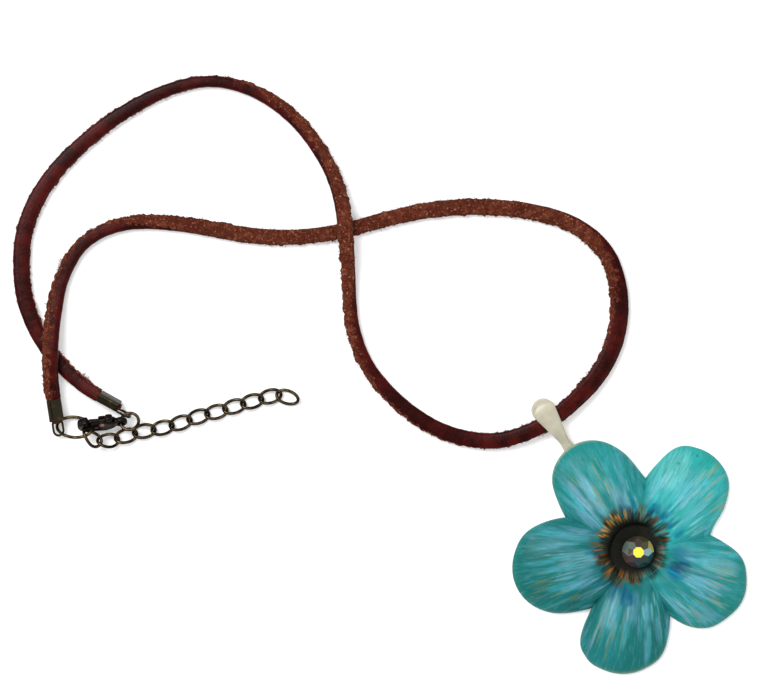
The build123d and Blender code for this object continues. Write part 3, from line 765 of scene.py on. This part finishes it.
rim_angles, rim_radii, rim_lifts, rim_across, petal_axes = [], [], [], [], []
for number, (notch_angle, lift, radii) in enumerate(PETALS):
    following = PETALS[(number + 1) % len(PETALS)]
    spread = (following[0] - notch_angle) % 360
    shares = np.arange(PETAL_STEPS) / PETAL_STEPS
    known_shares = np.array([*RIM_SHARES, 1.0])
    known_radii = np.array([*radii, following[2][0]])
    slopes = np.gradient(known_radii, known_shares)
    span = np.clip(np.searchsorted(known_shares, shares, side="right") - 1, 0, len(known_shares) - 2)
    width = known_shares[span + 1] - known_shares[span]
    t = (shares - known_shares[span]) / width
    from_start = (2 * t ** 3 - 3 * t ** 2 + 1) * known_radii[span]
    from_start += (t ** 3 - 2 * t ** 2 + t) * width * slopes[span]
    to_end = (3 * t ** 2 - 2 * t ** 3) * known_radii[span + 1]
    to_end += (t ** 3 - t ** 2) * width * slopes[span + 1]
    rim_angles.append(np.radians(notch_angle + shares * spread))
    rim_radii.append(from_start + to_end)
    rim_lifts.append(np.full(PETAL_STEPS, lift))
    rim_across.append(np.sin(np.pi * shares))
    petal_axes.append(notch_angle + spread / 2)
rim_lists = (rim_angles, rim_radii, rim_lifts, rim_across)
rim_angles, rim_radii, rim_lifts, rim_across = [np.concatenate(parts) for parts in rim_lists]
flower_sides = len(rim_angles)
rim_way = np.stack([np.cos(rim_angles), np.sin(rim_angles), 0 * rim_angles], axis=1)


def under_side(out, across, lift):
    """Height of the flower's back: out runs from the foot to the rim, across over one petal."""
    valley = (1 - across) * CREASE_DEPTH * ease(out / 0.35) * (1 - 0.35 * out)
    arch = ARCH_H * np.sin(np.pi * out ** 0.85) ** 0.9
    raised = lift * BAIL_STRAP * ease((out - 0.3) / 0.6) * across
    return np.maximum(arch - valley * np.minimum(1.0, arch / 1.5), 0.0) + raised


rings, ring_out, ring_veins = [], [], []


def add_ring(radius, height, out, veins=0.0):
    """One more row of the flower, from the middle over the rim and back underneath."""
    level_place = rim_way * np.broadcast_to(radius, flower_sides)[:, None]
    rings.append(level_place + UP * np.asarray(height)[..., None])
    ring_out.append(np.full(flower_sides, out))
    ring_veins.append(np.broadcast_to(veins, flower_sides))


for radius in np.linspace(HOLE_R, FOOT_R, DISH_RINGS, endpoint=False):
    add_ring(radius, WALL_CENTRE, -1 + radius / FOOT_R)
vein_angles = np.sort(rng.uniform(0, 2 * np.pi, VEINS))
vein_heights = rng.uniform(*VEIN_HEIGHTS, VEINS)
vein_ends = rng.uniform(*VEIN_ENDS, VEINS)
for out in 1 - (1 - np.linspace(0, 1, TOP_RINGS)) ** 1.12:
    radius = FOOT_R + (rim_radii - FOOT_R) * out
    wall = WALL_CENTRE + (WALL_RIM - WALL_CENTRE) * out
    rounding = RIM_ROUNDING * (np.clip((out - 0.9) / 0.1, 0, 1) ** 2.4)
    veined = 0 * radius
    for vein_angle, vein_height, vein_end in zip(vein_angles, vein_heights, vein_ends):
        apart = (rim_angles - vein_angle + np.pi) % (2 * np.pi) - np.pi
        fade = ease((radius - FOOT_R - 0.5) / 3) * (1 - ease((radius - 8) / (vein_end - 8)))
        veined = veined + vein_height * fade * np.exp(-(apart * radius / VEIN_W) ** 2)
    rolling = ROLLING * np.sin(3.1 * rim_angles + 0.31 * radius) * np.sin(0.42 * radius + 2 * rim_angles)
    height = under_side(out, rim_across ** 0.95, rim_lifts) + wall - rounding + veined
    add_ring(radius, height + rolling * ease(out * 2) * (1 - out ** 4), out, veined)
top_rows = len(rings)
for out in BACK_SHARES:
    radius = FOOT_R + (rim_radii - BACK_INSET - FOOT_R) * out
    add_ring(radius, under_side(out, rim_across ** 1.2, rim_lifts), out)
add_ring(HOLE_R, 0.0, -0.9)
flower_rows = len(rings)
flower_points = np.array(rings).reshape(-1, 3)
point_out = np.array(ring_out).ravel()
point_across = np.tile(rim_across, flower_rows)
plan_x, plan_y = flower_points[:, 0], flower_points[:, 1]
plan_r = np.hypot(plan_x, plan_y)
plan_angle = np.degrees(np.arctan2(plan_y, plan_x)) % 360

# The brush lines of a petal fan out from a point behind the flower's middle, so that they run more
# alongside one another than true rays would.
FAN_BACK = 9.0
HAIRS_ACROSS = 60
HAIRS_ALONG = 0.28
NEXT_PETAL = 41


def petal_at(angles):
    """The number of the petal at each angle in degrees."""
    past = [(np.asarray(angles) - petal[0]) % 360 for petal in PETALS]
    return np.argmin(past, axis=0)


petal_number = petal_at(plan_angle)
axis_angle = np.radians(np.array(petal_axes)[petal_number] - plan_angle)
fan_along = plan_r * np.cos(axis_angle) + FAN_BACK
fan_across = -plan_r * np.sin(axis_angle) / fan_along

# Ground coat: turquoise, lighter or deeper on each petal, with painted shade in the folds and round the rim
GROUND_DEEP = srgb(38, 138, 130)
GROUND_PALE = srgb(64, 164, 168)
FOLD_SHADE = srgb(34, 128, 128)
RIM_SHADE = srgb(36, 140, 124)
GROUND_PATCHES = (47.0, 21.0, 72.0)
DEPTH_ANGLES = [8, 20, 75, 92, 148, 162, 222, 240, 290, 305, 368]
PETAL_DEPTHS = [0.86, 1.28, 1.28, 0.82, 0.82, 0.6, 0.6, 0.62, 0.62, 0.86, 0.86]


def brushed_over(paint, share, colour):
    """Paint with a share of another colour over it."""
    share = np.asarray(share)[:, None]
    return paint * (1 - share) + np.array(colour) * share


patches = waves(plan_angle + 8 * np.sin(plan_r / 5), GROUND_PATCHES, seed=4) * 0.5 + 0.5
paint = brushed_over(np.array(GROUND_DEEP), patches, GROUND_PALE)
# Painted shade in the folds between the petals
paint = brushed_over(paint, 0.55 * (1 - point_across) ** 3 * ease((plan_r - 6) / 5), FOLD_SHADE)
paint = paint * np.interp(plan_angle, DEPTH_ANGLES, PETAL_DEPTHS)[:, None] * np.array([0.78, 1.0, 1.0])
# Painted shade round the rim
paint = brushed_over(paint, 0.45 * ease((point_out - 0.9) / 0.1), RIM_SHADE)


def stroke(angle, start, length, width, colour, strength, lean=0.0, bristles=5.0, fan_back=FAN_BACK,
           middle=(0.0, 0.0), firmness=1.6):
    """One brush stroke, running outward from a radius at an angle in degrees."""
    a = math.radians(angle)
    fan_axis = math.radians(petal_axes[int(petal_at(angle))])
    heading_x = start * math.cos(a) + fan_back * math.cos(fan_axis)
    heading_y = start * math.sin(a) + fan_back * math.sin(fan_axis)
    heading = math.atan2(heading_y, heading_x) + lean
    way = np.array([math.cos(heading), math.sin(heading)])
    offset_x = plan_x - middle[0] - start * math.cos(a)
    offset_y = plan_y - middle[1] - start * math.sin(a)
    gone = (offset_x * way[0] + offset_y * way[1]) / length
    near = np.nonzero((gone > -0.1) & (gone < 1.1))[0]
    gone = gone[near]
    beside = -offset_x[near] * way[1] + offset_y[near] * way[0] - 0.12 * length * lean * gone ** 2
    half = width / 2 * (0.55 + 0.45 * np.sin(np.pi * np.clip(gone, 0, 1)))
    mask = ease((1 - np.abs(beside) / half) * firmness) * ease(gone * 5)
    mask = mask * ease((1 - gone) * 2 * firmness)
    hairs = 0.72 + 0.28 * np.sin(beside * bristles / width * 2 * np.pi + angle) * np.sin(gone * 9 + angle)
    paint[near] = brushed_over(paint[near], np.clip(mask * hairs, 0, 1) * strength, colour)


# Broad soft painted highlights on each petal: pale strokes that stand for the sheen of the varnish
HIGHLIGHT_BRISTLES = 9.0
PETAL_HIGHLIGHTS = [
    # angle, start_radius, length, width, colour, strength
    (131, 9.5, 14.5, 3.4, srgb(176, 206, 226), 0.5), (139, 13.0, 11.0, 2.6, srgb(158, 186, 222), 0.5),
    (111, 9.5, 10.5, 2.2, srgb(190, 222, 226), 0.4), (120, 15.0, 9.0, 3.0, srgb(120, 190, 190), 0.4),
    (68, 14.5, 12.0, 7.5, srgb(150, 210, 206), 0.55), (50, 12.5, 12.5, 6.0, srgb(130, 196, 214), 0.5),
    (36, 11.0, 13.0, 4.5, srgb(104, 186, 190), 0.45), (80, 13.0, 10.0, 3.0, srgb(110, 196, 190), 0.4),
    (-8, 13.5, 10.5, 5.0, srgb(176, 214, 222), 0.55), (-28, 11.0, 11.0, 4.5, srgb(150, 178, 214), 0.45),
    (3, 9.0, 11.0, 3.4, srgb(134, 178, 206), 0.4), (-46, 16.0, 8.0, 4.0, srgb(150, 186, 210), 0.45),
    (241, 10.5, 9.5, 4.6, srgb(160, 200, 218), 0.5), (266, 8.0, 9.5, 3.4, srgb(128, 176, 204), 0.4),
    (279, 9.0, 8.0, 2.4, srgb(120, 180, 196), 0.35), (252, 16.0, 7.0, 3.0, srgb(90, 164, 160), 0.35),
    (186, 8.5, 10.5, 6.0, srgb(164, 206, 222), 0.5), (163, 10.5, 12.5, 4.2, srgb(124, 164, 192), 0.4),
    (203, 10.5, 10.5, 3.4, srgb(120, 170, 196), 0.35), (174, 14.0, 10.0, 3.0, srgb(104, 164, 176), 0.35),
]
for angle, start, length, width, colour, strength in PETAL_HIGHLIGHTS:
    stroke(angle, start, length, width, colour, strength, bristles=HIGHLIGHT_BRISTLES)

# Brush strokes, in families of one colour each
ALL_ROUND = [(0, 360)]
SHADED_FOLDS = [(128, 156), (186, 226), (300, 350)]
BLUE_WASH = [(14, 118), (316, 366), (170, 266)]
DEEP_WASH = [(30, 96), (326, 352), (218, 262)]
STROKE_LEAN = 0.05
STROKES = [
    # count, angles, start_radii, lengths, widths, colour, strengths
    (70, ALL_ROUND, (8, 19), (5, 12), (0.9, 2.4), srgb(34, 140, 132), (0.25, 0.6)),
    (80, ALL_ROUND, (9, 18), (5, 11), (0.7, 2.0), srgb(92, 188, 204), (0.25, 0.6)),
    (60, ALL_ROUND, (8, 17), (4, 11), (0.5, 1.5), srgb(146, 176, 208), (0.15, 0.45)),
    (18, SHADED_FOLDS, (8, 15), (5, 11), (0.7, 1.5), srgb(150, 176, 214), (0.25, 0.5)),
    (46, ALL_ROUND, (8, 16), (3, 9), (0.3, 0.8), srgb(184, 216, 226), (0.25, 0.6)),
    (40, ALL_ROUND, (14, 22), (3, 7), (0.3, 0.9), srgb(26, 122, 110), (0.25, 0.55)),
    (26, [(22, 50)], (17, 23), (2.5, 6), (0.3, 0.9), srgb(168, 160, 104), (0.25, 0.55)),
    (12, [(112, 134)], (11, 20), (2.5, 6.5), (0.25, 0.7), srgb(178, 150, 84), (0.3, 0.6)),
    (16, [(190, 224)], (13, 22), (3, 7), (0.25, 0.8), srgb(160, 138, 84), (0.25, 0.55)),
    (18, [(238, 262)], (13, 21), (3, 7), (0.25, 0.8), srgb(172, 146, 90), (0.25, 0.55)),
    (20, [(300, 352)], (15, 21), (3, 7), (0.2, 0.6), srgb(196, 158, 84), (0.3, 0.7)),
    (16, ALL_ROUND, (12, 21), (2, 5), (0.2, 0.5), srgb(190, 158, 96), (0.2, 0.5)),
    (30, ALL_ROUND, (5.5, 9.5), (2.5, 6), (0.5, 1.1), srgb(24, 116, 138), (0.3, 0.6)),
    (56, BLUE_WASH, (6.6, 9.6), (2.6, 5.2), (1.0, 2.0), srgb(8, 108, 138), (0.4, 0.8)),
    (30, DEEP_WASH, (7.2, 9.6), (2.4, 4.2), (0.8, 1.6), srgb(0, 80, 122), (0.4, 0.75)),
]
for count, angle_ranges, starts, lengths, widths, colour, strengths in STROKES:
    for number in range(count):
        low, high = angle_ranges[number % len(angle_ranges)]
        stroke(
            rng.uniform(low, high), rng.uniform(*starts), rng.uniform(*lengths), rng.uniform(*widths),
            colour, rng.uniform(*strengths), lean=rng.normal(0, STROKE_LEAN))

# A last glaze makes each petal's paint a little deeper or paler as a whole, its red the most. Veins
# get a painted highlight on their ridges and painted shade in their grooves.
PETAL_GLAZES = [0.98, 1.1, 1.1, 0.98, 0.98, 0.8, 0.8, 0.9, 0.9, 0.98, 0.98]
VEIN_PAINTED_LIGHT = 1.6
glaze = np.interp(plan_angle, DEPTH_ANGLES, PETAL_GLAZES)
paint = paint * np.stack([0.8 * glaze ** 1.8, glaze, glaze], axis=1)
# Painted highlight on the vein ridges, painted shade in the vein grooves
paint = paint * (1 + VEIN_PAINTED_LIGHT * np.array(ring_veins).ravel())[:, None]

# Eye of the flower: dark dabs like small petals, some of them ochre, round a middle of their own
EYE_MIDDLE = (-1.3, 1.3)
EYE_R = 5.2
EYE_FADE = 2.2
EYE_BLACK = srgb(15, 16, 9)
DAB_LEAN = 0.1
EYE_DABS = [
    # count, angles, start_radii, lengths, widths, colour, strength
    (9, (40, 300), (3.4, 4.6), (4.6, 6.0), (1.6, 2.6), srgb(92, 74, 22), 0.9),
    (11, (92, 270), (4.4, 5.8), (3.0, 4.4), (0.9, 1.7), srgb(128, 78, 18), 0.8),
    (6, (20, 70), (4.6, 5.8), (2.8, 3.8), (0.8, 1.5), srgb(104, 60, 18), 0.8),
    (5, (320, 380), (4.6, 5.8), (2.6, 3.6), (0.8, 1.4), srgb(112, 64, 20), 0.8),
    (4, (256, 300), (4.8, 5.8), (2.8, 3.8), (0.8, 1.4), srgb(132, 78, 24), 0.85),
    (15, (0, 360), (2.6, 3.8), (5.2, 7.4), (1.8, 2.8), srgb(36, 40, 15), 0.95),
    (13, (12, 372), (2.8, 4.2), (4.8, 7.0), (1.4, 2.4), srgb(16, 18, 9), 1.0),
    (11, (98, 166), (4.8, 6.8), (1.8, 3.4), (0.4, 0.9), srgb(206, 150, 60), 0.85),
    (6, (180, 262), (5.0, 6.6), (1.8, 3.2), (0.4, 0.9), srgb(176, 100, 24), 0.85),
    (5, (318, 378), (5.2, 6.6), (1.6, 2.8), (0.3, 0.7), srgb(150, 86, 28), 0.8),
    (30, (0, 360), (4.2, 6.4), (2.4, 4.0), (0.3, 0.8), srgb(12, 13, 7), 0.85),
]
for count, (low, high), starts, lengths, widths, colour, strength in EYE_DABS:
    for number in range(count):
        angle = low + (number + rng.uniform(0.15, 0.85)) * (high - low) / count
        stroke(
            angle, rng.uniform(*starts), rng.uniform(*lengths), rng.uniform(*widths), colour,
            strength * rng.uniform(0.85, 1.0), lean=rng.normal(0, DAB_LEAN), bristles=3.0, fan_back=0.0,
            middle=EYE_MIDDLE, firmness=2.4)
eye_r = np.hypot(plan_x - EYE_MIDDLE[0], plan_y - EYE_MIDDLE[1])
paint = brushed_over(paint, 1 - ease((eye_r - EYE_R) / EYE_FADE), EYE_BLACK)

# Small dark specks of paint, the bare cream edge above the bail, and a plain coat on the back
SPECK_BLUE = srgb(20, 30, 46)
SPECKS = [
    # x, y, radius
    (-20.7, 24.6, 0.28), (-12.6, 20.7, 0.2), (13.4, 21.5, 0.25), (9.1, 19.8, 0.2),
]
BARE_EDGES = [
    # angle, spread, strength, from_share_of_rim, fade
    (124, 10, 0.75, 0.972, 0.025), (275, 20, 0.3, 0.97, 0.02),
]
BARE_CREAM = srgb(196, 190, 160)
BACK_COAT = srgb(64, 158, 152)
for speck_x, speck_y, speck_r in SPECKS:
    away = ((plan_x - speck_x) ** 2 + (plan_y - speck_y) ** 2) / speck_r ** 2
    paint = brushed_over(paint, 0.8 * np.exp(-away), SPECK_BLUE)
bare = 0 * plan_angle
for bare_angle, spread, strength, from_share, fade in BARE_EDGES:
    beside = np.exp(-((plan_angle - bare_angle) / spread) ** 2)
    bare = np.maximum(bare, strength * beside * ease((point_out - from_share) / fade))
paint = brushed_over(paint, bare, BARE_CREAM)
paint[(top_rows + 1) * flower_sides:] = BACK_COAT

# Painted surface: hair lines and broader lines of the brush under a satin varnish
HAIR_PALE = srgb(98, 178, 190)
HAIR_DEEP = srgb(22, 112, 106)
LILAC_HAZE = srgb(130, 166, 204)

painted_flower, tree, shader = new_material("painted_flower")
plan_only = {0: place_on_piece(tree), 1: (1.0, 1.0, 0.0)}
plan = put(tree, "ShaderNodeVectorMath", plan_only, operation="MULTIPLY").outputs[0]
radius_out = put(tree, "ShaderNodeVectorMath", {0: plan}, operation="LENGTH").outputs["Value"]
brushed = put(
    tree, "ShaderNodeCombineXYZ", {"X": attribute(tree, "fan_across"), "Y": attribute(tree, "fan_along")})
hair_lines = noise(tree, brushed.outputs[0], scale=1.0, detail=5.0, roughness=0.7)
broad_lines = noise(tree, brushed.outputs[0], scale=0.27, detail=4.0, roughness=0.6)
painted = attribute(tree, "paint", "Color")
streaked = mix_colours(tree, ramp(tree, hair_lines, 0.5, 0.72, 0.0, 0.38), painted, HAIR_PALE)
deepened = mix_colours(tree, ramp(tree, hair_lines, 0.34, 0.5, 0.45, 0.0), streaked, HAIR_DEEP)
beyond_eye = ramp(tree, radius_out, 0.009, 0.012)
tinted = mix_colours(tree, beyond_eye, painted, deepened)
hazy = mix_colours(tree, ramp(tree, broad_lines, 0.52, 0.7, 0.0, 0.25), tinted, LILAC_HAZE)
tree.links.new(mix_colours(tree, beyond_eye, painted, hazy), shader.inputs["Base Color"])
set_all_over(
    shader, {"Roughness": 0.42, "Specular IOR Level": 0.09, "Coat Weight": 0.05, "Coat Roughness": 0.22})
relief(tree, shader, calculated(tree, "ADD", hair_lines, broad_lines), 0.00016)


def add_colours(piece, name, colours):
    """A colour at each point of a piece."""
    layer = piece.data.attributes.new(name, "FLOAT_COLOR", "POINT")
    rgba = np.ones((len(colours), 4), dtype=np.float32)
    rgba[:, :3] = colours
    layer.data.foreach_set("color", rgba.ravel())


flower = add_piece(
    "painted_petals", flower_points, bar_faces(flower_rows, flower_sides), painted_flower,
    ["flower"])
add_colours(flower, "paint", paint)
add_values(flower, "fan_across", fan_across * HAIRS_ACROSS + petal_number * NEXT_PETAL)
add_values(flower, "fan_along", fan_along * HAIRS_ALONG)

# Table top: a plain white card that the necklace lies on. It is a hair lower than the necklace, so
# that the two don't share a plane, and glows a little, as a card does under studio lamps.
FLOOR_HALF = 1.6
FLOOR_LEVEL = -0.0001
floor_mesh = bpy.data.meshes.new("floor")
corner_ways = ((-1, -1), (1, -1), (1, 1), (-1, 1))
floor_corners = [(x * FLOOR_HALF, y * FLOOR_HALF, FLOOR_LEVEL) for x, y in corner_ways]
floor_mesh.from_pydata(floor_corners, [], [(0, 1, 2, 3)])
floor = in_scene("floor", floor_mesh)
floor_material, tree, shader = new_material("floor")
set_all_over(shader, {
    "Base Color": (0.9, 0.9, 0.9, 1.0), "Roughness": 0.9, "Emission Color": (1.0, 1.0, 1.0, 1.0),
    "Emission Strength": 0.3,
})
floor_mesh.materials.append(floor_material)

# Light: a broad soft lamp from the upper left, a weaker one from the lower right, and a white room
# round them, as in a small photo tent.
LIGHTS = [
    # name, place, size, power in watts
    ("key_light", (-0.42, 0.36, 0.75), 0.5, 6.5),
    ("fill_light", (0.55, -0.25, 0.7), 0.7, 2.0),
]
ROOM_STRENGTH = 0.42
for name, place, size, power in LIGHTS:
    light_data = bpy.data.lights.new(name, "AREA")
    light_data.shape = "DISK"
    light_data.size = size
    light_data.energy = power
    light = in_scene(name, light_data)
    light.location = place
    aim = np.array([*VIEW_CENTRE, 0.0]) - np.array(place)
    light.rotation_euler = (
        math.acos(-aim[2] / np.linalg.norm(aim)), 0.0, math.atan2(aim[1], aim[0]) - math.pi / 2)
world = bpy.data.worlds.new("soft_room")
bpy.context.scene.world = world
world.use_nodes = True
set_all_over(
    world.node_tree.nodes["Background"], {"Color": (1.0, 1.0, 1.0, 1.0), "Strength": ROOM_STRENGTH})
bpy.context.scene.view_settings.view_transform = "Standard"
